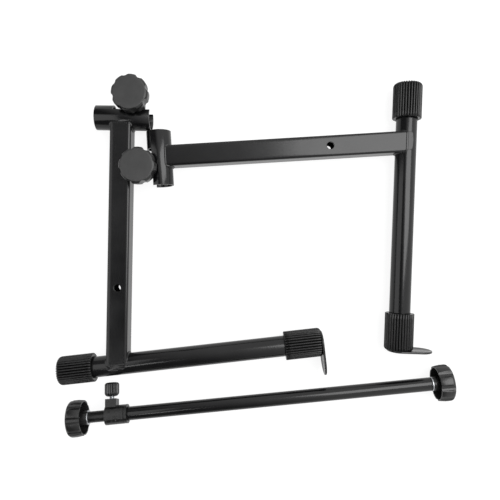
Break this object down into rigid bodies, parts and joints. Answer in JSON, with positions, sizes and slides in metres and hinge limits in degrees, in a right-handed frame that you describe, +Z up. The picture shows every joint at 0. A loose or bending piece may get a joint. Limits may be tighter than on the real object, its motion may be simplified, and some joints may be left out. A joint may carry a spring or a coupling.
{
  "type": "keyboard stand second tier kit",
  "caption": "Second-tier kit for an x-style keyboard stand: mirror-image clamp-on support arms with lipped grips, and a telescoping brace with lobed end knobs, laid flat.",
  "frame": {"origin": "middle of the laid-out kit's bounding box, on the surface that it lies on", "axes": "+X to the right of the layout, along its longest extent; +Y up the layout; +Z up, away from the surface and towards the clamp knobs' faces"},
  "size_m": [0.482, 0.434, 0.0544],
  "materials": {
    "powder_coat": "satin black powder coat",
    "grip": "ribbed black moulding",
    "knob": "black moulding",
    "zinc": "bright zinc plate",
    "brass": "turned",
    "nylon": "natural"
  },
  "bodies": {
    "left_arm": {"left_bar": "powder_coat", "left_clamp_sleeve": "powder_coat", "left_upper_ear": "powder_coat", "left_lower_ear": "powder_coat", "left_support_tube": "powder_coat", "left_plain_grip": "grip", "left_lip_grip": "grip", "left_clamp_bolt": "zinc"},
    "left_clamp_washer": {"left_clamp_washer": "zinc"},
    "left_clamp_knob": {"left_clamp_knob": "knob", "left_clamp_knob_insert": "brass"},
    "right_arm": {"right_bar": "powder_coat", "right_clamp_sleeve": "powder_coat", "right_upper_ear": "powder_coat", "right_lower_ear": "powder_coat", "right_support_tube": "powder_coat", "right_plain_grip": "grip", "right_lip_grip": "grip", "right_clamp_bolt": "zinc"},
    "right_clamp_washer": {"right_clamp_washer": "zinc"},
    "right_clamp_knob": {"right_clamp_knob": "knob", "right_clamp_knob_insert": "brass"},
    "brace": {"brace_outer_tube": "powder_coat", "brace_collar": "knob", "collar_nut": "zinc", "right_end_insert": "zinc"},
    "brace_inner": {"brace_inner_tube": "powder_coat", "left_end_insert": "zinc"},
    "thumb_screw_pad": {"thumb_screw_pad": "nylon"},
    "thumb_screw": {"thumb_screw_shank": "zinc", "thumb_screw_head": "knob"},
    "left_end_washer": {"left_end_washer": "zinc"},
    "left_end_knob": {"left_end_stud": "zinc", "left_end_knob": "knob"},
    "right_end_washer": {"right_end_washer": "zinc"},
    "right_end_knob": {"right_end_stud": "zinc", "right_end_knob": "knob"}
  },
  "joints": [
    {"name": "right_arm_lift", "type": "slide", "parent": "left_arm", "child": "right_arm", "axis": [0, 0, 1], "range_m": [0, 0.15]},
    {"name": "brace_lift", "type": "slide", "parent": "left_arm", "child": "brace", "axis": [0, 0, 1], "range_m": [0, 0.15]},
    {"name": "left_clamp_travel", "type": "slide", "parent": "left_arm", "child": "left_clamp_washer", "axis": [0, 0, 1], "range_m": [0, 0.0076]},
    {"name": "left_clamp_turn", "type": "hinge", "parent": "left_clamp_washer", "child": "left_clamp_knob", "pos_m": [-0.1463, 0.19517, 0.03295], "axis": [0, 0, 1], "range_deg": [0, 2160]},
    {"name": "right_clamp_travel", "type": "slide", "parent": "right_arm", "child": "right_clamp_washer", "axis": [0, 0, 1], "range_m": [0, 0.0076]},
    {"name": "right_clamp_turn", "type": "hinge", "parent": "right_clamp_washer", "child": "right_clamp_knob", "pos_m": [-0.13737, 0.11017, 0.03295], "axis": [0, 0, 1], "range_deg": [0, 2160]},
    {"name": "brace_extend", "type": "slide", "parent": "brace", "child": "brace_inner", "axis": [-0.9953, -0.0969, 0], "range_m": [-0.016, 0.17]},
    {"name": "thumb_screw_travel", "type": "slide", "parent": "brace", "child": "thumb_screw_pad", "axis": [-0.091, 0.9353, -0.342], "range_m": [0, 0.0051]},
    {"name": "thumb_screw_turn", "type": "hinge", "parent": "thumb_screw_pad", "child": "thumb_screw", "pos_m": [-0.17447, -0.1908, 0.0218], "axis": [-0.091, 0.9353, -0.342], "range_deg": [0, 1800]},
    {"name": "left_end_travel", "type": "slide", "parent": "brace_inner", "child": "left_end_washer", "axis": [-0.9953, -0.0969, 0], "range_m": [0, 0.0126]},
    {"name": "left_end_turn", "type": "hinge", "parent": "left_end_washer", "child": "left_end_knob", "pos_m": [-0.20219, -0.1935, 0.0218], "axis": [-0.9953, -0.0969, 0], "range_deg": [0, 3600]},
    {"name": "right_end_travel", "type": "slide", "parent": "brace", "child": "right_end_washer", "axis": [0.9953, 0.0969, 0], "range_m": [0, 0.0126]},
    {"name": "right_end_turn", "type": "hinge", "parent": "right_end_washer", "child": "right_end_knob", "pos_m": [0.21603, -0.15279, 0.0218], "axis": [0.9953, 0.0969, 0], "range_deg": [0, 3600]}
  ],
  "couplings": [
    {"joint": "left_clamp_travel", "follows": "left_clamp_turn", "m_per_rad": 0.00019894},
    {"joint": "right_clamp_travel", "follows": "right_clamp_turn", "m_per_rad": 0.00019894},
    {"joint": "thumb_screw_travel", "follows": "thumb_screw_turn", "m_per_rad": 0.00015915},
    {"joint": "left_end_travel", "follows": "left_end_turn", "m_per_rad": 0.00019894},
    {"joint": "right_end_travel", "follows": "right_end_turn", "m_per_rad": 0.00019894}
  ]
}
